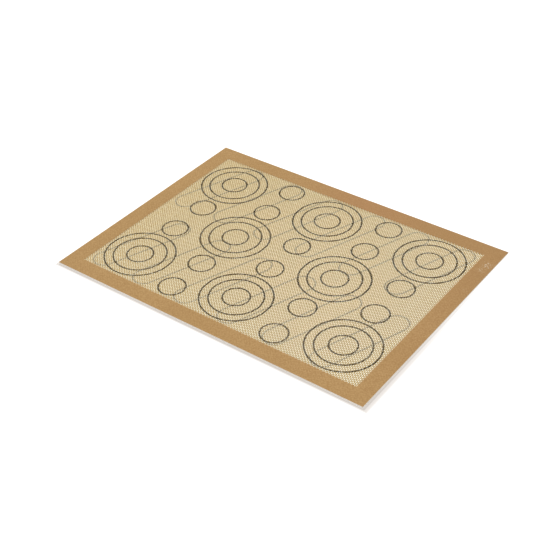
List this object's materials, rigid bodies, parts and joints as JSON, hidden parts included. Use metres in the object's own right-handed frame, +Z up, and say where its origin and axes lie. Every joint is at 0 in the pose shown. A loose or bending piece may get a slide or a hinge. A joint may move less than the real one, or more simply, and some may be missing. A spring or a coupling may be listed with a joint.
{
  "type": "silicone baking mat",
  "caption": "Flat flexible baking mat: open silicone-coated glass mesh in a solid silicone border, with ring guides printed on top and eclair outlines underneath",
  "frame": {"origin": "centre of the flat underside", "axes": "+X along the long side, +Y across the mat, +Z up, out of the face with the ring guides"},
  "size_m": [0.4, 0.3, 0.001],
  "materials": {
    "glass_yarn": "satin",
    "mesh_silicone": "satin",
    "border_silicone": "matte",
    "print_ink": "matte"
  },
  "bodies": {
    "root": {"warp_yarns": "glass_yarn", "weft_yarns": "glass_yarn", "underside_coat": "mesh_silicone", "top_coat": "mesh_silicone", "underside_border": "border_silicone", "top_border": "border_silicone", "small_ring_print": "print_ink", "middle_ring_print": "print_ink", "large_ring_print": "print_ink", "eclair_print": "print_ink"}
  },
  "joints": []
}
